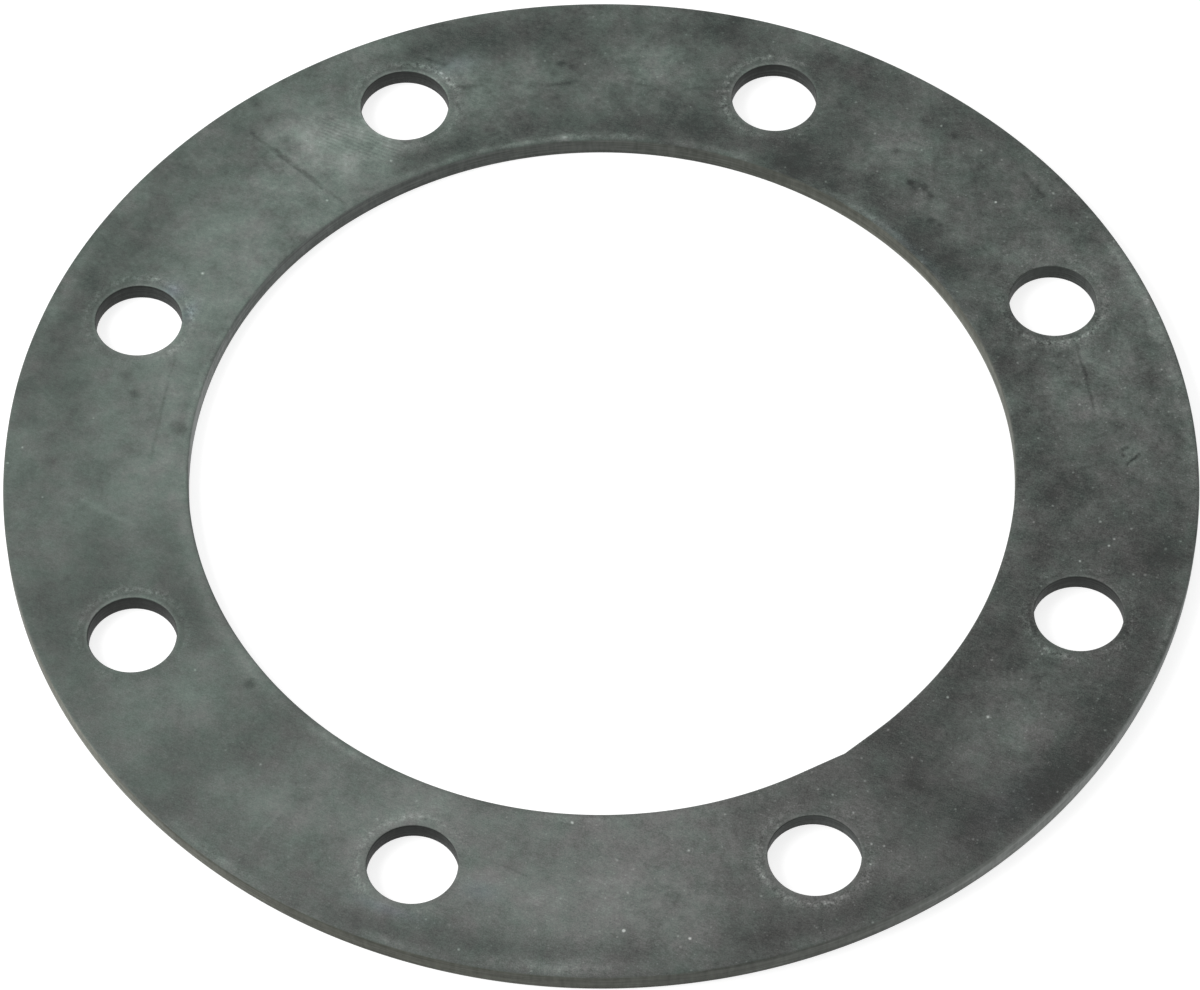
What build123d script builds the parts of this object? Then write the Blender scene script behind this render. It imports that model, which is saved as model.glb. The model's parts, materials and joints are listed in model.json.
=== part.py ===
from build123d import *
from math import acos, cos, degrees, isclose, radians, sin
import os

# Rubber gasket for a round bolted flange: one flat ring, cut from a sheet and punched.
# All lengths are in millimetres. The origin is on the axis of the bore, in the face that
# lies down, and +Z points up through the sheet.

# The flange and its bolts
bolt_circle_diameter = 150.0
bolt_count = 8
bolt_hole_diameter = 13.3

# The rubber left between a bolt hole and the bore, and between a bolt hole and the rim
bore_land = 6.7
rim_land = 7.35

# The sheet
sheet_thickness = 3.2

# The knives that cut the rim and the bore drag the upper edge over as they enter. The lower
# edges, and both ends of a punched hole, only have their corner broken.
knife_edge_rounding = 0.3
edge_break = 0.2

# Where the knife that cut the bore starts and ends, its two ends run straight on and meet
# just outside the circle. The angle is measured from +X, towards +Y.
knife_corner_depth = 0.45
knife_corner_angle = -57.0

bolt_circle_radius = bolt_circle_diameter / 2
bolt_hole_radius = bolt_hole_diameter / 2
bore_radius = bolt_circle_radius - bolt_hole_radius - bore_land
rim_radius = bolt_circle_radius + bolt_hole_radius + rim_land

# No hole stands on the X axis: the first is half a spacing round from it
first_hole_angle = 180 / bolt_count


def polar(radius, angle):
    """The point at this radius and this angle in degrees, in the plane of the sheet."""
    return radius * cos(radians(angle)), radius * sin(radians(angle))


def knife_corner():
    """The sliver outside the bore's circle that the two straight cuts take away.

    Both cuts leave the circle as tangents, so each starts this many degrees from the corner.
    """
    corner_radius = bore_radius + knife_corner_depth
    run_angle = degrees(acos(bore_radius / corner_radius))
    start = polar(bore_radius, knife_corner_angle - run_angle)
    corner = polar(corner_radius, knife_corner_angle)
    end = polar(bore_radius, knife_corner_angle + run_angle)
    return make_face(Polyline(start, corner, end, close=True))


def ring():
    """The ring as the two knives leave it, before any hole is punched."""
    outline = Circle(rim_radius) - Circle(bore_radius) - knife_corner()
    sheet = extrude(outline, amount=sheet_thickness)
    sheet = fillet(sheet.edges().group_by(Axis.Z)[-1], knife_edge_rounding)
    return chamfer(sheet.edges().group_by(Axis.Z)[0], edge_break)


def is_bolt_hole_edge(edge):
    """True for the round edge where a bolt hole meets the top face or the underside."""
    return edge.geom_type == GeomType.CIRCLE and isclose(edge.radius, bolt_hole_radius)


def gasket():
    """The whole gasket: the ring with its bolt holes punched and their edges broken."""
    holes = PolarLocations(bolt_circle_radius, bolt_count, start_angle=first_hole_angle)
    sheet = ring() - holes * extrude(Circle(bolt_hole_radius), amount=sheet_thickness)
    return chamfer(sheet.edges().filter_by(is_bolt_hole_edge), edge_break)


os.makedirs("parts", exist_ok=True)
export_step(gasket(), "parts/gasket.step")
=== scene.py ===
import json
import math

import bmesh
import bpy
import numpy as np
from mathutils import Matrix, Vector, noise


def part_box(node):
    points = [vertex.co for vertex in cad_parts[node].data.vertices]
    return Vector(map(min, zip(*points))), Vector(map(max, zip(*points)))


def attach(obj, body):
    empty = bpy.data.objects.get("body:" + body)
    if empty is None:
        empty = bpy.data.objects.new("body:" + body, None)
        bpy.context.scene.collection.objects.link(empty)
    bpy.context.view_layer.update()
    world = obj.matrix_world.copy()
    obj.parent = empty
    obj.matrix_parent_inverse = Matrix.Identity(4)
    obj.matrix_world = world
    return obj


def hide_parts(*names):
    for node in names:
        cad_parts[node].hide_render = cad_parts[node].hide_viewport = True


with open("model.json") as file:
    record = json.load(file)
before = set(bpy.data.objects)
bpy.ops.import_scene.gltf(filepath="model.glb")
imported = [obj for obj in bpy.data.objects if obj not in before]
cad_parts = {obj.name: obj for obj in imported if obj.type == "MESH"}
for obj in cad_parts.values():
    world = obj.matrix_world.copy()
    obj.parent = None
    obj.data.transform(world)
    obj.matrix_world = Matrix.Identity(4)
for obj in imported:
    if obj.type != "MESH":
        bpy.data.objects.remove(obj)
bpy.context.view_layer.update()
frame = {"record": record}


# The gasket is one flat ring of black sheet rubber, 3.2 mm thick, and nothing is fixed to it.
# One knife cut its rim and another its bore, and eight bolt holes were punched through it.
# Its lengths are in millimetres until the mesh is made, and angles run from +X towards +Y.
mm = 0.001
lowest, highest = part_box("gasket")
mounts = {mount["name"]: mount["dims"] for mount in frame["record"]["mounts"]}
thickness = highest.z / mm
rim_radius = min(highest.x, highest.y, -lowest.x, -lowest.y) / mm
bore_radius = mounts["bore"]["r_mm"]
hole_radius = mounts["bolt_holes"]["hole_r_mm"]
hole_count = mounts["bolt_holes"]["count"]
hole_circle_radius = mounts["bolt_holes"]["pcd_mm"] / 2
hole_spacing = 360 / hole_count

# The two ends of the bore's knife run straight on and meet just outside its circle
knife_corner_angle = -57.0
knife_corner_depth = 0.45

# The knives drag the upper edges over, and a punched or lower edge only has its corner broken
knife_rounding = 0.3
edge_break = 0.2

# How far each kind of cut wanders from a true circle, and in how many waves
knife_wander = 0.035
knife_waves = 9.0
punch_wander = 0.05
punch_waves = 5.0

# How much wider or narrower each punched hole came out, from the first hole past +X round towards
# +Y, and how much more it opens towards the underside
hole_growth = (-0.08, -0.10, 0.10, -0.11, -0.12, -0.13, 0.06, -0.10)
hole_flare = (0.0, 0.10, 0.10, 0.0, 0.0, 0.10, 0.30, 0.14)

# Stretches where the rim or the bore came out wider, or narrower where the number is negative, and
# where the foot of a cut lies back from its top: the middle and half length in degrees, and how far
bore_tightness = 0.04
rim_stretches = ((29, 20, 0.25), (70, 12, 0.16), (155, 12, 0.19), (168, 6, 0.10))
bore_stretches = (
    (5, 12, 0.15),
    (95, 40, -0.09),
    (165, 18, -0.17),
    (212, 30, -0.20),
    (309, 5, 0.11),
    (341, 8, -0.05),
)
rim_leans = ((224, 18, 0.22), (256, 20, 0.08), (334, 16, 0.10))
bore_leans = ((75, 15, -0.05), (125, 12, -0.05))

# The mesh: how many points each bolt hole's share of it has along the rim or the bore, and along a
# side, how many rings each face has there, which crowd towards the hole, the steps down each kind of
# wall, and the strip of the face that goes with each cut
arc_points = 90
side_points = 30
top_rings = 21
underside_rings = 6
ring_crowding = 1.25
knife_wall_steps = 4
punch_wall_steps = 2
edge_band = 0.9
hole_band = 0.8

# The strip has one more ring, at a share of its width, the wall ends a little above the lower edge,
# and the middle of that edge is worn back: how far in and how far up, as shares of the broken corner
ring_share_of_strip = 0.4
foot_share = 1.2
worn_shares = (0.3, 0.35)


def on_circle(radius, angle):
    """The point, or points, at this radius and angle, in the plane of the sheet."""
    turn = np.radians(angle)
    return np.stack(np.broadcast_arrays(radius * np.cos(turn), radius * np.sin(turn)), axis=-1)


def wander(angle, waves, seed):
    """A smooth random value from -1 to 1 that comes back to itself after a full turn."""
    on_loop = np.atleast_2d(on_circle(waves / (2 * math.pi), angle))
    return np.array([noise.noise(Vector((a, b, seed))) for a, b in on_loop])


def along_cut(angle, stretches):
    """The amounts of the stretches added up at an angle of the ring, with soft ends."""
    total = np.zeros(np.shape(angle))
    for middle, half_length, amount in stretches:
        total += amount * np.exp(-((((angle - middle + 180) % 360 - 180) / half_length) ** 2))
    return total


def rim_edge(angle):
    """Radius of the rim. It wanders only inwards, and is wider only where its true box has room."""
    inwards = knife_wander * (0.5 + 0.5 * wander(angle, knife_waves, seed=1.5))
    return rim_radius + along_cut(angle, rim_stretches) - inwards


def bore_edge(angle):
    """Radius of the bore, with the shallow corner where the two ends of its knife meet."""
    run = math.degrees(math.acos(bore_radius / (bore_radius + knife_corner_depth)))
    off_corner = np.abs((angle - knife_corner_angle + 180) % 360 - 180)
    straight = bore_radius / np.cos(np.radians(run - off_corner))
    out_of_round = along_cut(angle, bore_stretches) - bore_tightness
    out_of_round += knife_wander * wander(angle, knife_waves, seed=7.5)
    return np.where(off_corner < run, straight, bore_radius) + out_of_round


def cut_profile(band, rounding, lower_break, wall_steps):
    """How far in from the cut each ring of the mesh lies, and its height, from the top face down."""
    part_way = rounding + ring_share_of_strip * (band - rounding)
    top = [(band, thickness), (part_way, thickness)]
    for turn in np.radians((0, 30, 60, 90)):
        top.append((rounding * (1 - math.sin(turn)), thickness - rounding * (1 - math.cos(turn))))
    foot = foot_share * lower_break
    wall = [(0, z) for z in np.linspace(thickness - rounding, foot, wall_steps + 1)[1:]]
    worn_corner = tuple(share * lower_break for share in worn_shares)
    lower = [worn_corner, (lower_break, 0), (band, 0)]
    return np.array(top + wall + lower)


skins = []


def add_skin(*rings):
    """Keeps closed rings of points, each of which is joined to the next by a band of faces."""
    skins.append(np.stack(rings))


def raised(flat_points, height):
    """Points in the plane of the sheet, lifted to a height."""
    return np.concatenate([flat_points, np.full((len(flat_points), 1), height)], axis=1)


# The walls of the rim and the bore, with the edges above and below them, go right round the ring.
# A lean grows down the wall, and leaves the face's strip where it is
ring_angles = np.arange(arc_points * hole_count) * hole_spacing / arc_points
knife_profile = cut_profile(edge_band, knife_rounding, edge_break, knife_wall_steps)
for cut_edge, inwards, stretches in ((rim_edge, -1, rim_leans), (bore_edge, 1, bore_leans)):
    rings = []
    for inset, z in knife_profile:
        lean = along_cut(ring_angles, stretches) * (1 - z / thickness) * (inset < edge_band)
        wall_radius = cut_edge(ring_angles) + inwards * (inset + lean)
        rings.append(raised(on_circle(wall_radius, ring_angles), z))
    add_skin(*rings)

# Each bolt hole has its share of the faces, in rings that grow from round the hole to the
# edges of the share: along the rim, down one side, back along the bore and up the other side
punch_profile = cut_profile(hole_band, edge_break, edge_break, punch_wall_steps)
half_share = hole_spacing / 2
for number in range(hole_count):
    middle = hole_spacing * (number + 0.5)
    along = middle + np.linspace(-half_share, half_share, arc_points, endpoint=False)
    ends = np.array([middle + half_share, middle - half_share])
    outer = rim_edge(ends) - edge_band
    inner = bore_edge(ends) + edge_band
    down = np.linspace(outer[0], inner[0], side_points, endpoint=False)
    up = np.linspace(inner[1], outer[1], side_points, endpoint=False)
    back = 2 * middle - along
    border = np.concatenate([
        on_circle(rim_edge(along) - edge_band, along),
        on_circle(down, ends[0]),
        on_circle(bore_edge(back) + edge_band, back),
        on_circle(up, ends[1]),
    ])
    centre = on_circle(hole_circle_radius, middle)
    towards = np.degrees(np.arctan2(border[:, 1] - centre[1], border[:, 0] - centre[0]))
    wandering = punch_wander * wander(towards, punch_waves, seed=20.5 + number)
    punched = hole_radius + hole_growth[number] + wandering
    lip = centre + on_circle(punched + hole_band, towards)
    for rings, height in ((top_rings, thickness), (underside_rings, 0)):
        shares = np.linspace(0, 1, rings) ** ring_crowding
        add_skin(*[raised(lip + share * (border - lip), height) for share in shares])
    leans = [inset + hole_flare[number] * (1 - z / thickness) for inset, z in punch_profile]
    leans[-1] = hole_band
    rings = []
    for lean, (_, z) in zip(leans, punch_profile):
        rings.append(raised(centre + on_circle(punched + lean, towards), z))
    add_skin(*rings)

# The bands of faces between the rings, and then one closed mesh
points, faces = [], []
for skin in skins:
    rows, columns = skin.shape[:2]
    so_far = sum(len(part) for part in points)
    corner = so_far + np.arange(rows * columns).reshape(rows, columns)
    beside = np.roll(corner, -1, axis=1)
    faces.append(np.stack([corner[:-1], beside[:-1], beside[1:], corner[1:]], axis=-1).reshape(-1, 4))
    points.append(skin.reshape(-1, 3))
points = np.concatenate(points)
faces = np.concatenate(faces)

sheet = bpy.data.meshes.new("gasket_rubber")
sheet.from_pydata((points * mm).tolist(), [], faces.tolist())
weld_distance = 0.002 * mm
welded = bmesh.new()
welded.from_mesh(sheet)
bmesh.ops.remove_doubles(welded, verts=welded.verts, dist=weld_distance)
bmesh.ops.recalc_face_normals(welded, faces=welded.faces)
welded.to_mesh(sheet)
welded.free()

# The sheet isn't dead flat: it swells and sinks a little, sinks to the rim and the bore, and
# has a low bank round each bolt hole, with the rubber pulled down inside it by the punch
swell_height = 0.05
swell_length = 24.0
shoulder_drop = 0.06
shoulder_width = 0.9
rim_shoulder_share = 0.5
bank_height = 0.015
bank_distance = 1.7
bank_width = 0.8
hollow_depth = 0.03

count = len(sheet.vertices)
flat = np.empty(count * 3)
sheet.vertices.foreach_get("co", flat)
flat = flat.reshape(-1, 3) / mm
x, y, z = flat.T
radius = np.hypot(x, y)
angle = np.degrees(np.arctan2(y, x)) % 360
hole_number = (angle // hole_spacing).astype(int) % hole_count
hole_x, hole_y = on_circle(hole_circle_radius, (hole_number + 0.5) * hole_spacing).T
grown, flared = np.array([hole_growth, hole_flare])[:, hole_number]
hole_distance = np.hypot(x - hole_x, y - hole_y) - hole_radius - grown - flared * (1 - z / thickness)


def cloud(length, seed):
    """Smooth noise from -1 to 1 at every point of the mesh, with lumps about this long."""
    return np.array([noise.noise(Vector((a / length, b / length, seed))) for a, b in zip(x, y)])


def bump_over(distance, middle, width):
    """1 where the distance equals the middle, and down to nothing past the width."""
    return np.exp(-(((distance - middle) / width) ** 2))


share_of_height = z / thickness
from_top = 1 - share_of_height
shoulder = rim_shoulder_share * np.exp((radius - rim_radius) / shoulder_width)
shoulder += np.exp((bore_radius - radius) / shoulder_width)
top_drop = swell_height * (1 - cloud(swell_length, seed=3.5)) + shoulder_drop * shoulder - bank_height
top_drop += shoulder_drop * np.exp(-np.maximum(hole_distance, 0) / shoulder_width)
top_drop -= bank_height * (bump_over(hole_distance, bank_distance, bank_width) - 1)
z = z - np.maximum(top_drop, 0) * share_of_height
z = z + hollow_depth * (0.5 + 0.5 * cloud(swell_length, seed=9.5)) * from_top
sheet.vertices.foreach_set("co", (np.stack([x, y, z], axis=1) * mm).ravel())
sheet.update()
sheet.shade_smooth()

gasket = bpy.data.objects.new("gasket_rubber", sheet)
bpy.context.scene.collection.objects.link(gasket)

# What the shader needs to know of each point: how far it is from each cut, in millimetres, and
# whether it is on a cut wall, on the top face, or on neither. The bloom reaches over most of a
# rounded edge, and leaves a share of it bare. That share is larger along one stretch of the rim,
# where the paler wall colour carried up over the edge is a painted highlight: its middle and half
# length in degrees, and how much larger
bare_share = 0.45
bare_punch_share = 0.4
edge_highlight_stretches = ((314, 22, 0.5),)
full_wall = 1.2

from_rim = np.maximum(rim_edge(angle) - radius - along_cut(angle, rim_leans) * from_top, 0)
from_bore = np.maximum(radius - bore_edge(angle) - along_cut(angle, bore_leans) * from_top, 0)
from_hole = np.maximum(hole_distance, 0)
bare_width = (bare_share + along_cut(angle, edge_highlight_stretches)) * knife_rounding
on_knife_wall = full_wall - np.minimum(from_rim, from_bore) / bare_width
on_punch_wall = full_wall - from_hole / (bare_punch_share * edge_break)
on_wall = np.clip(np.maximum(on_knife_wall, on_punch_wall), 0, 1)
on_top = np.where(z > thickness / 2, 1 - on_wall, 0)

# Broad patches of the face, where bloom and dust have settled or have been rubbed off, in order
# round the ring. Each has its middle, as an angle and a radius, its half length along the ring,
# its half width across, and how much lighter it is, or darker where the number is negative
pale_patches = (
    (4, 84, 12, 6, 0.07),
    (12, 73, 8, 6, 0.10),
    (14, 87.6, 24, 1.2, 0.09),
    (50, 75, 6, 5, 0.05),
    (67, 87.5, 8, 1.5, 0.07),
    (84, 77, 6, 5, 0.09),
    (96, 76, 4, 4, 0.08),
    (102, 66, 4, 4, 0.07),
    (103, 73, 5, 5, 0.14),
    (106, 79, 4, 3, 0.15),
    (118, 72, 11, 8, 0.19),
    (124, 69, 6, 3, 0.05),
    (125, 77, 9, 6, 0.15),
    (132, 71, 4, 9, 0.07),
    (135, 63, 12, 2.5, 0.08),
    (143, 69, 20, 10, 0.11),
    (157, 66, 14, 4, 0.06),
    (157, 87.5, 12, 1.5, 0.08),
    (157, 73, 6, 3, 0.05),
    (168, 70, 14, 9, 0.12),
    (174, 65, 14, 4, 0.06),
    (183, 78, 6, 3, 0.05),
    (184, 70, 6, 10, 0.10),
    (187, 87.3, 12, 1.4, 0.06),
    (202, 62.8, 30, 1.2, 0.04),
    (207, 62.6, 20, 1.4, 0.09),
    (210, 76, 9, 6, 0.12),
    (214, 74, 6, 16, 0.03),
    (235, 77, 5, 3, 0.05),
    (238, 74, 22, 8, 0.17),
    (247, 82.5, 5, 3, 0.06),
    (251, 64.5, 20, 3.5, 0.15),
    (262, 76, 22, 8, 0.12),
    (273, 74, 10, 8, 0.15),
    (278, 66, 12, 4, 0.06),
    (289, 62.8, 14, 1.2, 0.06),
    (292, 75, 5, 4, 0.06),
    (298, 75, 6, 5, 0.10),
    (325, 74, 9, 6, 0.16),
)
dark_patches = (
    (10, 65.5, 14, 3.5, -0.07),
    (20, 84, 12, 2.5, -0.04),
    (25, 63.3, 12, 2, -0.07),
    (40, 65, 10, 3, -0.09),
    (47, 87.5, 7, 2.5, -0.12),
    (47, 66, 8, 3, -0.06),
    (60, 70, 6, 11, -0.15),
    (66, 84.5, 26, 4.5, -0.11),
    (76, 64.5, 22, 3.5, -0.15),
    (78, 85.5, 8, 3, -0.07),
    (92, 69, 6, 5, -0.06),
    (92, 73, 5, 9, -0.04),
    (93, 83, 10, 5, -0.09),
    (103, 84, 9, 4, -0.18),
    (113, 64, 7, 2.5, -0.12),
    (145, 82.5, 20, 4, -0.07),
    (170, 87.5, 8, 2, -0.05),
    (190, 67, 6, 6, -0.04),
    (193, 78, 7, 7, -0.05),
    (201, 67, 8, 4, -0.07),
    (202, 84.5, 14, 3, -0.04),
    (232, 65, 8, 3, -0.06),
    (246, 87, 14, 2, -0.05),
    (252, 85.5, 12, 2.5, -0.05),
    (265, 84.3, 7, 1.8, -0.08),
    (285, 79, 3, 8, -0.06),
    (288, 84, 12, 4, -0.06),
    (293, 86, 9, 3, -0.13),
    (303, 88, 8, 2, -0.08),
    (305, 72, 12, 18, -0.09),
    (312, 85, 8, 3.5, -0.10),
    (312, 64, 14, 3, -0.07),
    (317, 67, 8, 5, -0.08),
    (325, 87, 16, 4, -0.15),
    (332, 74, 20, 16, -0.10),
    (340, 67, 10, 4, -0.07),
    (346, 84, 16, 4.5, -0.13),
    (352, 72, 14, 12, -0.06),
)

# Dust that has caught along the bore and then along the rim, in the same terms. The bore's entries
# from 86 to 111 degrees are a painted highlight on the rounded lip of its far side, broken up like
# the dust
edge_dust_and_highlight = (
    (46, 62.3, 12, 0.5, 0.14),
    (74, 62.3, 6, 0.5, 0.12),
    (86, 62.4, 3, 0.6, 0.24),
    (93, 62.4, 3, 0.6, 0.22),
    (100, 62.3, 6, 0.5, 0.20),
    (111, 62.3, 8, 0.5, 0.08),
    (166, 62.1, 14, 0.7, 0.12),
    (232, 62.6, 8, 0.6, 0.12),
    (265, 62.6, 6, 0.6, 0.12),
    (22, 88, 9, 0.7, 0.14),
    (112, 87, 10, 1.2, 0.07),
    (150, 88, 20, 0.8, 0.04),
    (230, 88, 8, 0.7, 0.12),
    (248, 88, 4, 0.7, 0.12),
    (264, 87.4, 12, 0.9, 0.15),
    (322, 88.7, 26, 0.5, 0.05),
    (338, 88, 5, 0.7, 0.15),
    (359, 88, 6, 0.7, 0.10),
)

# Blue-grey stains, and the fine chatter that the press left, mostly beside the third hole, in the
# same terms but as a share of their full strength
blue_stains = (
    (38, 62.3, 9, 0.8, 0.5),
    (105, 80, 4.0, 2.0, 0.5),
    (152, 72.7, 1.6, 1.6, 0.9),
    (154, 68.5, 2.2, 1.1, 0.7),
    (247, 83.3, 5, 0.9, 0.6),
    (255.5, 76.5, 2.5, 1.6, 0.5),
    (313, 84, 7, 3, 0.3),
)
chatter = (
    (11, 77, 5, 3, 0.45),
    (117, 67.5, 3.0, 2.0, 0.6),
    (119, 71, 3.5, 3.0, 0.9),
    (122, 75.5, 3.0, 3.5, 1.0),
    (241.8, 75, 1.6, 4, 0.5),
    (298, 73, 5, 4, 0.35),
)

# How much paler each cut wall is: the bore's, the rim's, and then those of the bolt holes, where the
# darker ones are painted shade. Some stretches are more olive, some have a painted highlight on the
# head of the wall, which elsewhere has a painted shadow line under its lip, and some have a paler
# foot, which is darker elsewhere
wall_patches_and_shade = (
    (15, 61.7, 10, 2, 0.03),
    (62, 61.7, 42, 2, -0.10),
    (110, 61.7, 18, 2, -0.02),
    (152, 61.7, 32, 2, 0.14),
    (171, 61.7, 12, 2, 0.36),
    (213, 89, 20, 2, 0.10),
    (242, 89, 26, 2, -0.08),
    (265, 89, 24, 2, -0.02),
    (307, 89, 15, 2, 0.08),
    (322, 89, 40, 2, 0.37),
    (345, 89, 14, 2, 0.12),
    # The bolt holes' walls, whose darker entries are painted shade
    (22, 81, 4, 4, 0.10),
    (27.5, 73.5, 4, 4, 0.22),
    (67.5, 75, 9, 9, -0.01),
    (112.5, 75, 9, 9, -0.04),
    (199, 70, 3, 4, -0.10),
    (202.5, 75, 9, 9, -0.10),
    (247.5, 75, 9, 9, -0.07),
    (248, 68.5, 3, 4, -0.09),
    (295, 71, 6, 8, 0.10),
    (337.5, 75, 9, 9, -0.07),
    (342.5, 76, 3, 4, -0.08),
)
olive_patches = (
    (35, 61.7, 55, 2, 1.0),
    (210, 89, 22, 2, 0.6),
    (245, 89, 75, 2, 1.0),
)
head_highlights = (
    (115, 61.7, 45, 2, 0.11),
    (125, 61.7, 16, 2, 0.08),
    (162, 61.7, 14, 2, 0.14),
    (208, 89, 14, 2, 0.16),
    (262, 89, 24, 2, 0.07),
)
foot_patches = (
    (28, 61.7, 30, 2, 0.38),
    (212, 89, 26, 2, 0.34),
)
# A painted shadow line along the head of every wall, and a darker foot
head_shadow_line = -0.07
dark_foot = -0.10

# The dust round each bolt hole: how strong its ring is, the direction in which it is strongest,
# and how much lies on the lip, where it is partly dust and partly a painted highlight on the rounded
# edge. That lies most on the lips' sides that face one way
hole_rings = (
    (0.12, 290, 0.04),
    (0.10, 200, 0.16),
    (0.11, 40, 0.20),
    (0.10, 40, 0.16),
    (0.06, 120, 0.18),
    (0.06, 140, -0.03),
    (0.10, 250, 0.12),
    (0.11, 250, 0.14),
)
lip_direction = 125
ring_mean, ring_swing = 0.7, 0.5
lip_mean, lip_swing = 0.6, 0.4


def spread(patches, turned=0):
    """The patches added up at every point of the mesh, with soft borders."""
    total = np.zeros(count)
    for at_angle, at_radius, half_length, half_width, amount in patches:
        along_ring = np.radians((angle - at_angle - turned + 180) % 360 - 180) * at_radius
        across = radius - at_radius
        total += amount * np.exp(-((along_ring / half_length) ** 2) - (across / half_width) ** 2)
    return total


# The underside has the same kind of patches, but not in the same places, and fewer marks
underside_turn = 130
underside_share = 0.6
face_tone = spread(pale_patches + dark_patches)
under_tone = spread(pale_patches + dark_patches, underside_turn) * underside_share
side_of_sheet = np.clip(z / thickness, 0, 1)
patch_tone = face_tone * side_of_sheet + under_tone * (1 - side_of_sheet)


def strongest_at(direction, at, mean, swing):
    """A value that swings about its mean with the direction, and is largest at one of them."""
    return mean + swing * np.cos(np.radians(direction - at))


ring_amount, ring_direction, lip_amount = np.array(hole_rings).T[:, hole_number]
round_hole = np.degrees(np.arctan2(y - hole_y, x - hole_x))
ring_dust = ring_amount * strongest_at(round_hole, ring_direction, ring_mean, ring_swing) * on_top
lip_dust_and_highlight = lip_amount * strongest_at(round_hole, lip_direction, lip_mean, lip_swing) * on_top

# The left of the sheet is greener and the near right is greyer: 0 is green and 1 is grey
grey_patches = (
    (45, 75, 65, 60, 0.17),
    (56, 84, 10, 2.5, 0.20),
    (210, 73, 5, 4, -0.15),
    (300, 75, 85, 60, 0.60),
    (300, 75, 6, 6, 0.12),
    (307, 66.5, 4, 3, -0.35),
    (330, 73, 3, 6, -0.30),
    (349, 76, 5, 4, 0.12),
)
least_greyness = 0.22
greyness = least_greyness + spread(grey_patches)

# The far right has the most mottling, and the right has the finest grain and the most dust
lumpiness = strongest_at(angle, at=40, mean=0.72, swing=0.34)
fineness = strongest_at(angle, at=-10, mean=0.5, swing=0.5)


def keep_on_mesh(name, values):
    """Stores one value for each point of the mesh, under a name that the shader reads."""
    layer = sheet.attributes.new(name, "FLOAT", "POINT")
    layer.data.foreach_set("value", values.astype(np.float32))


keep_on_mesh("from_hole", from_hole)
keep_on_mesh("on_wall", on_wall)
keep_on_mesh("on_top", on_top)
keep_on_mesh("patch_tone", patch_tone)
keep_on_mesh("wall_tone", spread(wall_patches_and_shade))
keep_on_mesh("olive", spread(olive_patches))
keep_on_mesh("head_shadow_and_highlight", head_shadow_line + spread(head_highlights))
keep_on_mesh("foot_tone", dark_foot + spread(foot_patches))
keep_on_mesh("ring_dust", ring_dust)
keep_on_mesh("lip_dust_and_highlight", lip_dust_and_highlight)
keep_on_mesh("edge_dust_and_highlight", spread(edge_dust_and_highlight) * on_top)
keep_on_mesh("greyness", greyness)
keep_on_mesh("lumpiness", lumpiness)
keep_on_mesh("fineness", fineness)
keep_on_mesh("blue_stain", spread(blue_stains) * on_top)
keep_on_mesh("chatter", spread(chatter) * on_top)

# Small marks on the top face: pale specks of dust, and dark pits. Each is at an angle and a
# radius of the ring, and has its own radius and how much lighter it is
specks = (
    (270.8, 81.2, 0.34, 0.70), (277.2, 83.4, 0.32, 0.55), (264.8, 63.2, 0.35, 0.40),
    (37.7, 78.1, 0.28, 0.65), (43.9, 83.5, 0.25, 0.40), (49.2, 83.1, 0.25, 0.45),
    (58.7, 79.5, 0.25, 0.25), (48.8, 77.4, 0.25, 0.25), (53.5, 82.7, 0.25, 0.20),
    (34.8, 86.2, 0.32, 0.25), (30.4, 85.7, 0.25, 0.25), (57.8, 66.3, 0.25, 0.22),
    (352.0, 67.4, 0.25, 0.40), (350.4, 74.6, 0.32, 0.35), (348.3, 77.0, 0.25, 0.45),
    (347.3, 76.4, 0.28, 0.50), (344.5, 72.7, 0.25, 0.50), (348.0, 84.7, 0.32, 0.30),
    (344.2, 80.8, 0.28, 0.35), (344.4, 82.5, 0.30, 0.32), (344.4, 84.3, 0.25, 0.20),
    (318.9, 65.3, 0.28, 0.55), (319.7, 71.9, 0.38, 0.50), (326.3, 72.2, 0.26, 0.32),
    (333.1, 81.9, 0.26, 0.20), (298.6, 77.1, 0.28, 0.40), (299.6, 78.3, 0.28, 0.35),
    (299.0, 71.3, 0.26, 0.35), (298.2, 67.2, 0.26, 0.32), (309.8, 62.9, 0.26, 0.30),
    (148.0, 70.4, 0.36, 0.38), (176.4, 86.4, 0.26, 0.30), (178.3, 88.4, 0.26, 0.30),
    (128.7, 65.2, 0.30, 0.35), (117.9, 66.0, 0.32, 0.28), (172.1, 76.5, 0.25, 0.18),
    (255.1, 86.6, 0.28, 0.35), (253.5, 83.0, 0.40, 0.15), (279.0, 68.9, 0.30, 0.30),
    (296.0, 82.3, 0.26, 0.30), (285.3, 78.8, 0.26, 0.25), (307.4, 84.7, 0.26, 0.25),
    (69.9, 82.6, 0.26, 0.25), (73.3, 75.5, 0.30, 0.30), (77.0, 69.5, 0.25, 0.20),
    (73.0, 74.0, 0.25, 0.30), (73.7, 76.7, 0.25, 0.25), (74.3, 73.5, 0.22, 0.22),
    (66.3, 83.0, 0.24, 0.22), (90.4, 76.7, 0.26, 0.30), (95.0, 77.8, 0.24, 0.25),
    (210.4, 69.6, 0.26, 0.25), (182.6, 83.1, 0.25, 0.22), (225.8, 72.3, 0.25, 0.22),
)
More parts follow.
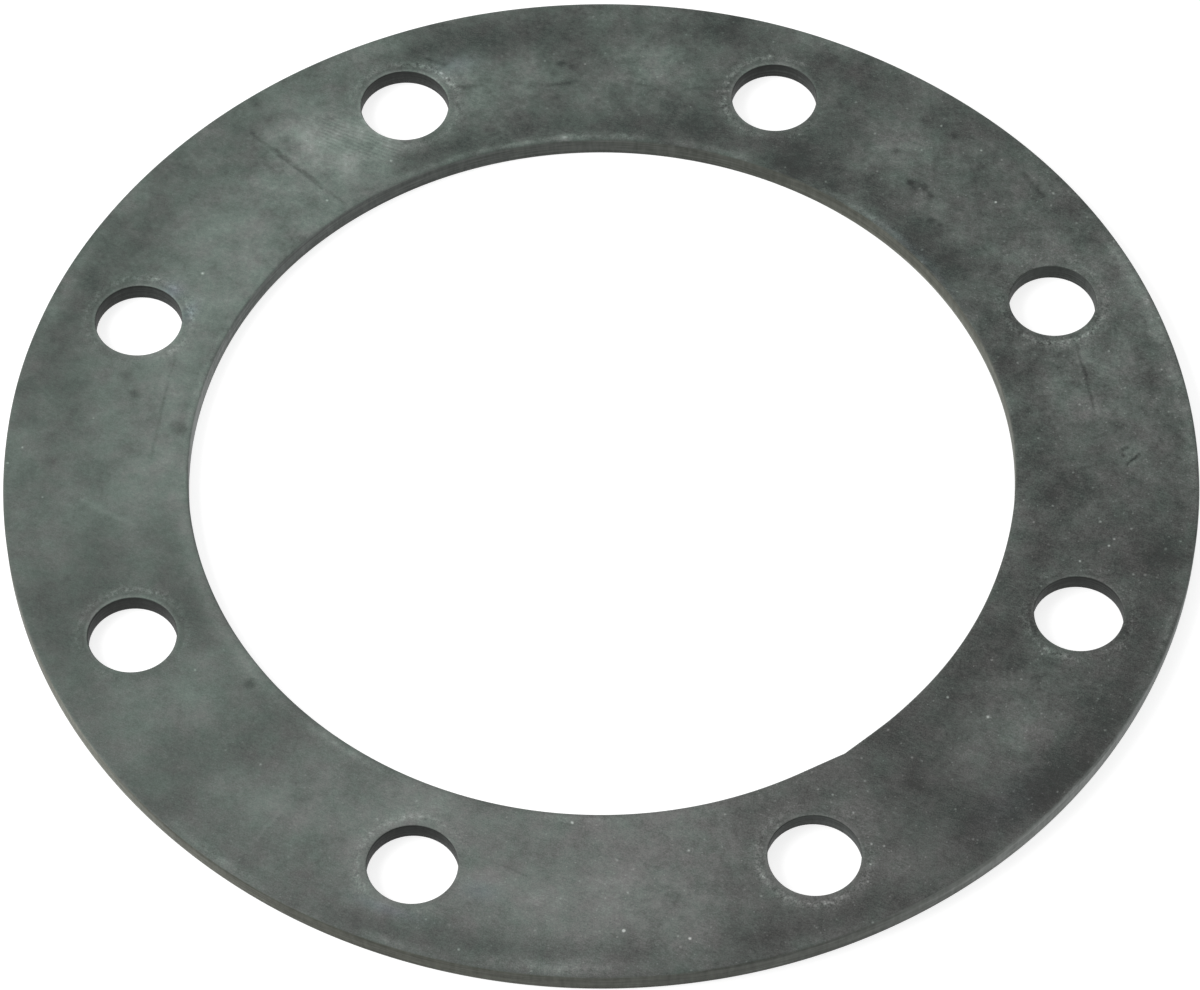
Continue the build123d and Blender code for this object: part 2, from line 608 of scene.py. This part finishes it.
pits = (
    (46.7, 71.4, 0.9, -0.20), (44.8, 72.0, 1.1, -0.18), (43.5, 71.5, 0.9, -0.18),
    (45.8, 70.9, 0.6, -0.16), (46.8, 77.8, 1.1, -0.10), (51.1, 74.8, 1.0, -0.12),
    (47.2, 82.8, 0.9, -0.10), (40.6, 68.2, 0.9, -0.14), (39.4, 68.6, 0.6, -0.12),
    (165.5, 73.3, 1.0, -0.08), (168.0, 71.2, 1.2, -0.11), (172.5, 63.4, 1.8, -0.12),
    (216.0, 64.3, 1.2, -0.13), (92.5, 73.4, 1.3, -0.09), (94.0, 75.0, 0.8, -0.10),
    (93.2, 77.0, 1.0, -0.12), (92.0, 76.2, 0.7, -0.12), (126.3, 83.5, 1.6, -0.10),
    (148.0, 81.8, 2.2, -0.07), (178.0, 82.0, 1.4, -0.08), (359.6, 77.8, 0.4, -0.16),
)

# Creases and scratches, each from one angle and radius to another, with its half width and how
# much lighter it is. The first three are one long crease, whose dark lines are partly a mark in the
# rubber and partly painted shade of its fold, and the last four one squiggle
creases = (
    (129.2, 83.0, 127.2, 63.0, 0.55, -0.09), (128.6, 78.0, 127.6, 68.0, 0.45, -0.09),
    (128.9, 77.0, 128.0, 67.5, 0.35, -0.10), (127.0, 80.0, 126.2, 66.0, 1.60, -0.06),
    (126.6, 88.0, 126.8, 82.0, 1.00, -0.06), (107.9, 82.3, 106.2, 80.4, 0.60, -0.11),
    (105.8, 75.5, 103.0, 74.8, 0.60, -0.10), (91.5, 73.2, 95.0, 72.9, 0.60, -0.09),
    (82.5, 72.6, 85.0, 73.0, 0.60, -0.08), (75.0, 73.8, 78.0, 73.0, 0.60, -0.09),
    (38.9, 85.0, 35.3, 84.5, 0.80, -0.13), (6.4, 74.6, 15.6, 75.1, 0.50, -0.13),
    (160.7, 67.4, 168.0, 66.7, 0.45, -0.06), (168.0, 66.7, 177.5, 67.1, 0.50, -0.07),
    (183.5, 77.0, 187.5, 70.0, 1.00, 0.08), (231.5, 76.5, 231.7, 82.5, 0.60, 0.06),
    (256.0, 71.4, 260.0, 72.8, 0.40, -0.06), (359.8, 80.3, 359.2, 79.7, 0.50, -0.20),
    (359.1, 79.2, 358.4, 78.4, 0.45, -0.22), (359.5, 79.9, 358.9, 79.1, 0.30, -0.18),
    (0.7, 78.6, 0.5, 77.9, 0.50, -0.20),
)

# Sheet rubber is black under a thin grey-green bloom. Its tone is a number that a ramp turns into
# a colour: 0.4 is the middle of the face, and a tenth is about fourteen levels of a screen's 255
green_tones = (
    (11, 16, 13), (45, 53, 49), (81, 91, 85),
    (109, 121, 114), (137, 150, 142), (186, 196, 190),
)
grey_tones = (
    (15, 16, 15), (51, 52, 50), (89, 90, 88),
    (119, 120, 118), (148, 149, 147), (195, 196, 194),
)
wall_tones = (
    (9, 12, 10), (37, 41, 38), (70, 75, 72),
    (100, 105, 102), (131, 136, 133), (174, 178, 176),
)
olive_tones = (
    (11, 12, 8), (40, 41, 34), (73, 75, 66),
    (103, 105, 96), (134, 136, 127), (177, 178, 171),
)
blue_filter = (0.93, 0.97, 1.12, 1)
middle_tone = 0.4
middle_wall_tone = 0.52
# A bolt hole's wall is darker, partly because cut rubber is blacker and partly as painted shade
hole_wall_tone = 0.20

rubber = bpy.data.materials.new("sheet_rubber")
rubber.use_nodes = True
tree = rubber.node_tree
shader = tree.nodes["Principled BSDF"]


def linear(levels):
    """A screen's red, green and blue levels, as the colour that a shader takes."""
    return [((level / 255 + 0.055) / 1.055) ** 2.4 for level in levels] + [1]


def add(kind, inputs, output=0, **settings):
    """Adds a node, fills or links its sockets, and returns one of its outputs."""
    node = tree.nodes.new("ShaderNode" + kind)
    for name, value in settings.items():
        setattr(node, name, value)
    for socket, value in inputs.items():
        if isinstance(value, bpy.types.NodeSocket):
            tree.links.new(value, node.inputs[socket])
        else:
            node.inputs[socket].default_value = value
    return node.outputs[output]


def sum_of(a, b):
    """The sum of two values."""
    return add("Math", {0: a, 1: b}, operation="ADD")


def product(a, b):
    """The product of two values."""
    return add("Math", {0: a, 1: b}, operation="MULTIPLY")


def more_by(total, a, b):
    """The total with the product of a and b added to it."""
    return add("Math", {0: a, 1: b, 2: total}, operation="MULTIPLY_ADD")


def fade(value, full, gone):
    """1 where the value is at full, 0 where it is at gone, and a soft change between them."""
    inputs = {"Value": value, "From Min": full, "From Max": gone, "To Min": 1.0, "To Max": 0.0}
    return add("MapRange", inputs, interpolation_type="SMOOTHSTEP")


def of_mesh(name):
    """A value that the mesh keeps for each of its points."""
    return add("Attribute", {}, "Fac", attribute_name=name)


def noise_of(where, size, detail, roughness, output="Fac"):
    """Noise with lumps about this long, from 0 to 1."""
    inputs = {"Vector": where, "Scale": 1 / size, "Detail": detail, "Roughness": roughness}
    return add("TexNoise", inputs, output)


def noise_about_zero(where, size, detail, roughness):
    """The same noise, from -0.5 to 0.5."""
    return sum_of(noise_of(where, size, detail, roughness), -0.5)


def stretched(where, x_share, y_share, z_share):
    """The place with each of its directions multiplied, so that noise there is drawn out."""
    return add("VectorMath", {0: where, 1: (x_share, y_share, z_share)}, operation="MULTIPLY")


def stepped(value, colours):
    """A ramp through evenly spaced colours."""
    output = add("ValToRGB", {"Fac": value})
    ramp = output.node.color_ramp
    ramp.elements.remove(ramp.elements[1])
    for number, colour in enumerate(colours):
        share = number / (len(colours) - 1)
        element = ramp.elements[0] if number == 0 else ramp.elements.new(share)
        element.position = share
        element.color = colour
    return output


def profile(distance, reach, heights):
    """A curve over a distance from a cut, through heights from 0 to 1 that are evenly spaced."""
    share = add("Math", {0: distance, 1: reach}, operation="DIVIDE")
    return stepped(share, [(height, height, height, 1) for height in heights])


def mixed(share, first, second, **settings):
    """The second colour laid over the first, by a share from 0 to 1."""
    inputs = {"Factor": share, "A": first, "B": second}
    return add("Mix", inputs, "Result", data_type="RGBA", **settings)


# The place in millimetres, as it is, flat in the plane of the sheet, and flat with a waver that
# keeps the marks from being ruled lines
waver_size = 3.0
waver_reach = 0.8

place = add("VectorMath", {0: add("TexCoord", {}, "Object"), "Scale": 1 / mm}, operation="SCALE")
flat_place = stretched(place, 1, 1, 0)
cloudy_place = noise_of(place, waver_size, 2.0, 0.6, "Color")
waver = add("VectorMath", {0: cloudy_place, 1: (0.5, 0.5, 0.5)}, operation="SUBTRACT")
moved = {0: waver, 1: (waver_reach, waver_reach, 0), 2: flat_place}
wavering = add("VectorMath", moved, operation="MULTIPLY_ADD")

# The mottling of a moulded sheet: wide clouds, and lumps from 6 mm down to the grain, which break
# up the patches too
cloud_size = 14.0
cloud_strength = 0.40
lump_size = 6.0
lump_strength = 0.88
patch_break_up = 2.0

clouds = noise_about_zero(place, cloud_size, 2.0, 0.5)
mottling = product(noise_about_zero(place, lump_size, 6.0, 0.80), of_mesh("lumpiness"))
tone = more_by(middle_tone, clouds, cloud_strength)
tone = more_by(tone, mottling, lump_strength)
tone = more_by(tone, of_mesh("patch_tone"), more_by(1.0, mottling, patch_break_up))

# The dust round the bolt holes, in a ragged ring with a clean gap beside the cut, and on the lip of
# the cut itself dust together with a painted highlight on its rounded edge. The heights are how much
# dust lies there, from the cut to the reach
ring_reach = 3.2
ring_heights = (0.5, 0.1, 0.25, 0.9, 1.0, 0.55, 0.35, 0.25, 0.1)
ring_bare_height = 0.2
rag_size = 2.2
ring_raggedness = 1.1
ring_grain_size = 0.8
ring_grain_mean = 1.08
ring_grain_strength = 10.8
ring_part_size = 5.0
ring_part_strength = 3.0
lip_reach = (0.1, 0.8)
lip_dust_and_highlight_mean = 0.9
lip_dust_and_highlight_strength = 2.5

raggedness = noise_about_zero(place, rag_size, 3.0, 0.65)
ragged_distance = more_by(of_mesh("from_hole"), raggedness, ring_raggedness)
ring_dust_there = sum_of(profile(ragged_distance, ring_reach, ring_heights), -ring_bare_height)
fine_noise = noise_about_zero(place, ring_grain_size, 2.0, 0.7)
ring_grain = more_by(ring_grain_mean, fine_noise, ring_grain_strength)
broad_noise = noise_about_zero(place, ring_part_size, 1.0, 0.5)
ring_parts = more_by(1.0, broad_noise, ring_part_strength)
ring_share = product(of_mesh("ring_dust"), ring_parts)
tone = more_by(tone, product(ring_share, ring_dust_there), ring_grain)
lip_share = product(of_mesh("lip_dust_and_highlight"), more_by(lip_dust_and_highlight_mean, raggedness, lip_dust_and_highlight_strength))
tone = more_by(tone, lip_share, fade(of_mesh("from_hole"), *lip_reach))

# The fine grain of the face: round grains, and long ones that lie the way the sheet was pulled
grain_turn = -27
grain_stretch = 3.2
long_grain_size = 0.31
round_grain_size = 0.20
round_grain_share = 1.6
least_grain = 0.125
finest_grain = 0.11

pulled = {
    "Vector": place,
    "Rotation": (0, 0, math.radians(grain_turn)),
    "Scale": (grain_stretch, 1.0, 1.0),
}
long_grain = noise_of(add("Mapping", pulled, vector_type="TEXTURE"), long_grain_size, 2.0, 0.6)
round_grain = noise_of(place, round_grain_size, 1.0, 0.5)
grain = sum_of(more_by(long_grain, round_grain, round_grain_share), -0.5 * (1 + round_grain_share))
tone = more_by(tone, grain, more_by(least_grain, of_mesh("fineness"), finest_grain))

# The dust along the rim and the bore, and the painted highlight on the bore's far lip, in grains
edge_grain_size = 1.6
edge_grain_strength = 5.0

edge_grain = more_by(1.0, noise_about_zero(place, edge_grain_size, 3.0, 0.7), edge_grain_strength)
tone = more_by(tone, of_mesh("edge_dust_and_highlight"), edge_grain)

# Each mark fades out from its middle, and each crease from the wavering line between its ends
mark_spread = 1.2
mark_strength = 1.25

marks = 0.0
for at_angle, at_radius, size, amount in specks + pits:
    middle_of_mark = (*on_circle(at_radius, at_angle), 0)
    away = add("VectorMath", {0: flat_place, 1: middle_of_mark}, "Value", operation="DISTANCE")
    marks = more_by(marks, fade(away, 0.0, size * mark_spread), amount * mark_strength)
for first_angle, first_radius, last_angle, last_radius, half_width, amount in creases:
    first = Vector((*on_circle(first_radius, first_angle), 0))
    run = Vector((*on_circle(last_radius, last_angle), 0)) - first
    gone_along = add("VectorMath", {0: wavering, 1: first}, operation="SUBTRACT")
    dot = add("VectorMath", {0: gone_along, 1: run}, "Value", operation="DOT_PRODUCT")
    share = add("Math", {0: dot, 1: run.length_squared}, operation="DIVIDE", use_clamp=True)
    nearest = add("VectorMath", {0: run, "Scale": share}, operation="SCALE")
    away = add("VectorMath", {0: gone_along, 1: nearest}, "Value", operation="DISTANCE")
    marks = more_by(marks, fade(away, 0.0, half_width), amount)

# Finer dust is strewn in three sizes. Each has its spacing, the radius of its specks, the share of
# the places that hold one, and how much lighter it is
fine_dust = (
    (1.4, 0.17, 0.1, 0.30),
    (2.6, 0.24, 0.2, 0.26),
    (7.0, 0.30, 0.3, 0.40),
)
chance_softness = 0.25
least_dust = 0.15

for spacing, size, chance_of_one, amount in fine_dust:
    scatter = {"Vector": flat_place, "Scale": 1 / spacing, "Randomness": 1.0}
    distance = add("TexVoronoi", scatter, "Distance", voronoi_dimensions="2D")
    nearness = fade(distance, 0.0, size / spacing)
    chance = add("SeparateColor", {0: add("TexVoronoi", scatter, "Color", voronoi_dimensions="2D")})
    there = fade(chance, chance_of_one, chance_of_one + chance_softness)
    dust_share = more_by(least_dust, of_mesh("fineness"), 1 - least_dust)
    marks = more_by(marks, product(nearness, dust_share), product(there, amount))

# The chatter is a set of short, fine, parallel lines
chatter_spacing = 0.65
chatter_slope = 27
chatter_strength = 0.05

slope = math.radians(chatter_slope)
across_lines = (math.sin(slope), math.cos(slope), 0)
gone_across = add("VectorMath", {0: wavering, 1: across_lines}, "Value", operation="DOT_PRODUCT")
ripple = add("Math", {0: product(gone_across, 2 * math.pi / chatter_spacing)}, operation="SINE")
marks = more_by(marks, ripple, product(of_mesh("chatter"), chatter_strength))
tone = more_by(tone, marks, of_mesh("on_top"))

# A cut wall has streaks along it from the knife, and finer strokes up and down it. It pales a
# little downwards. Its head has a painted shadow line under the lip, with a painted highlight along
# some stretches, and its foot is darker, and paler along some stretches. It is darker in a bolt hole,
# partly because cut rubber is blacker and partly as painted shade
streak_stretch = (0.10, 0.10, 2.4)
streak_strength = 0.55
stroke_stretch = (1.3, 1.3, 0.3)
stroke_strength = 0.30
wall_paling = 0.04
pale_heights = (0.2, 2.6)
head_heights = (3.1, 2.5)
foot_heights = (0.3, 1.0)
hole_wall_reach = (0.6, 1.4)

streaks = noise_about_zero(stretched(place, *streak_stretch), 1.0, 3.0, 0.6)
strokes = noise_about_zero(stretched(place, *stroke_stretch), 1.0, 2.0, 0.6)
height = add("SeparateXYZ", {0: place}, "Z")
wall_tone = sum_of(of_mesh("wall_tone"), middle_wall_tone)
wall_tone = more_by(wall_tone, streaks, streak_strength)
wall_tone = more_by(wall_tone, strokes, stroke_strength)
wall_tone = more_by(wall_tone, fade(height, *pale_heights), wall_paling)
wall_tone = more_by(wall_tone, fade(height, *head_heights), of_mesh("head_shadow_and_highlight"))
wall_tone = more_by(wall_tone, fade(height, *foot_heights), of_mesh("foot_tone"))
in_hole = fade(of_mesh("from_hole"), *hole_wall_reach)
wall_tone = more_by(wall_tone, in_hole, hole_wall_tone - middle_wall_tone)

# The colour, from the tones. The green and the grey of the bloom run into each other in blotches
blotch_size = 4.5
blotch_strength = 2.4

tint = more_by(of_mesh("greyness"), noise_about_zero(place, blotch_size, 4.0, 0.7), blotch_strength)
green = stepped(tone, [linear(levels) for levels in green_tones])
grey = stepped(tone, [linear(levels) for levels in grey_tones])
face_colour = mixed(tint, green, grey)
face_colour = mixed(of_mesh("blue_stain"), face_colour, blue_filter, blend_type="MULTIPLY")
wall_colour = stepped(wall_tone, [linear(levels) for levels in wall_tones])
olive = stepped(wall_tone, [linear(levels) for levels in olive_tones])
wall_colour = mixed(of_mesh("olive"), wall_colour, olive)
colour = mixed(of_mesh("on_wall"), face_colour, wall_colour)
tree.links.new(colour, shader.inputs["Base Color"])

# Bloom is duller than bare rubber, so the roughness rises with the tone
bare_roughness = 0.52
bloom_roughness = 0.22

roughness = more_by(bare_roughness, tone, bloom_roughness)
tree.links.new(roughness, shader.inputs["Roughness"])
shader.inputs["Specular IOR Level"].default_value = 0.3

# The relief of the grain, of the lumps and of the knife's streaks, in millimetres. It only tilts
# the light on the surface and moves none of it
relief_grain_size = 0.45
grain_relief = 0.025
lump_relief = 0.05
streak_relief = 0.10

relief = more_by(0.0, noise_of(place, relief_grain_size, 3.0, 0.65), grain_relief)
relief = more_by(relief, mottling, lump_relief)
relief = more_by(relief, product(streaks, of_mesh("on_wall")), streak_relief)
bump = add("Bump", {"Strength": 1.0, "Distance": mm, "Height": relief})
tree.links.new(bump, shader.inputs["Normal"])
sheet.materials.append(rubber)

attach(gasket, "root")
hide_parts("gasket")


# The table is a plain board, painted matt white, and large enough to fill every view. The ring
# lies loose on it, and a hair's breadth keeps the board out of the plane of the underside.
# To the camera the paint glows a little, so that it shows as white under soft lamps.
floor_size = 6.0
floor_gap = 0.02 * mm
floor_white = 0.5
floor_glow = 0.76
white = (1, 1, 1, 1)

top_board = bpy.data.meshes.new("white_table")
half = floor_size / 2
corners = [(-half, -half, 0), (half, -half, 0), (half, half, 0), (-half, half, 0)]
top_board.from_pydata(corners, [], [(0, 1, 2, 3)])
table = bpy.data.objects.new("white_table", top_board)
table.location.z = -floor_gap
bpy.context.scene.collection.objects.link(table)


def seen_directly(tree):
    """1 for the rays from the camera, and for those that a shiny or clear surface sends on."""
    path = tree.nodes.new("ShaderNodeLightPath")
    total = path.outputs["Is Camera Ray"]
    for name in ("Is Glossy Ray", "Is Transmission Ray"):
        either = tree.nodes.new("ShaderNodeMath")
        either.operation = "MAXIMUM"
        tree.links.new(total, either.inputs[0])
        tree.links.new(path.outputs[name], either.inputs[1])
        total = either.outputs[0]
    return total


board_paint = bpy.data.materials.new("white_board")
board_paint.use_nodes = True
tree = board_paint.node_tree
paint = tree.nodes["Principled BSDF"]
paint.inputs["Base Color"].default_value = (floor_white, floor_white, floor_white, 1)
paint.inputs["Roughness"].default_value = 0.9
paint.inputs["Specular IOR Level"].default_value = 0.0
paint.inputs["Emission Color"].default_value = white
glow = tree.nodes.new("ShaderNodeMath")
glow.operation = "MULTIPLY"
glow.inputs[1].default_value = floor_glow
tree.links.new(seen_directly(tree), glow.inputs[0])
tree.links.new(glow.outputs[0], paint.inputs["Emission Strength"])
top_board.materials.append(board_paint)


# The light is a pale room and two square soft boxes on stands, one high on the left, near the
# ring, and a larger and weaker one behind it. The camera sees the room as plain white.
room_light = 0.4

world = bpy.data.worlds.new("pale_room")
world.use_nodes = True
bpy.context.scene.world = world
tree = world.node_tree
tree.nodes.clear()
output = tree.nodes.new("ShaderNodeOutputWorld")
mix = tree.nodes.new("ShaderNodeMixShader")
lit = tree.nodes.new("ShaderNodeBackground")
lit.inputs["Color"].default_value = white
lit.inputs["Strength"].default_value = room_light
shown = tree.nodes.new("ShaderNodeBackground")
shown.inputs["Color"].default_value = white
tree.links.new(seen_directly(tree), mix.inputs["Fac"])
tree.links.new(lit.outputs[0], mix.inputs[1])
tree.links.new(shown.outputs[0], mix.inputs[2])
tree.links.new(mix.outputs[0], output.inputs["Surface"])


def soft_box(name, place, size, power):
    """A square lamp that faces the middle of the ring, with its place and its side in metres."""
    lamp = bpy.data.lights.new(name, "AREA")
    lamp.size = size
    lamp.energy = power
    holder = bpy.data.objects.new(name, lamp)
    holder.location = place
    holder.rotation_mode = "QUATERNION"
    holder.rotation_quaternion = (-Vector(place)).to_track_quat("-Z", "Y")
    bpy.context.scene.collection.objects.link(holder)


soft_box("left_soft_box", (-0.55, -0.05, 0.5), 0.5, 4.2)
soft_box("back_soft_box", (0.1, 0.9, 0.9), 0.8, 1.5)


# The camera stands in front of the ring and looks down on it, almost along +Y, through a long
# lens, so that the ring fills the picture. Its distance and the point it aims at are in
# millimetres, and it is turned and rolled by a degree or so, as a camera held by hand is.
view_elevation = 54.724
view_azimuth = -1.294
view_roll = -0.208
view_distance = 941.8
view_target = (-0.25, -3.4, 0.0)
lens_length = 189.62
sensor_width = 36.0

lens = bpy.data.cameras.new("front_camera")
lens.sensor_width = sensor_width
lens.lens = lens_length
lens.clip_start = 0.05
lens.clip_end = 20
camera = bpy.data.objects.new("front_camera", lens)
up, round_to = math.radians(view_elevation), math.radians(view_azimuth)
sideways, forwards = math.sin(round_to), math.cos(round_to)
back = Vector((sideways * math.cos(up), -forwards * math.cos(up), math.sin(up)))
camera.location = (Vector(view_target) + back * view_distance) * mm
roll = Matrix.Rotation(math.radians(view_roll), 4, "Z")
camera.rotation_mode = "QUATERNION"
level = (-back).to_track_quat("-Z", "Y").to_matrix().to_4x4()
camera.rotation_quaternion = (level @ roll).to_quaternion()
bpy.context.scene.collection.objects.link(camera)
bpy.context.scene.camera = camera
bpy.context.scene.view_settings.view_transform = "Standard"
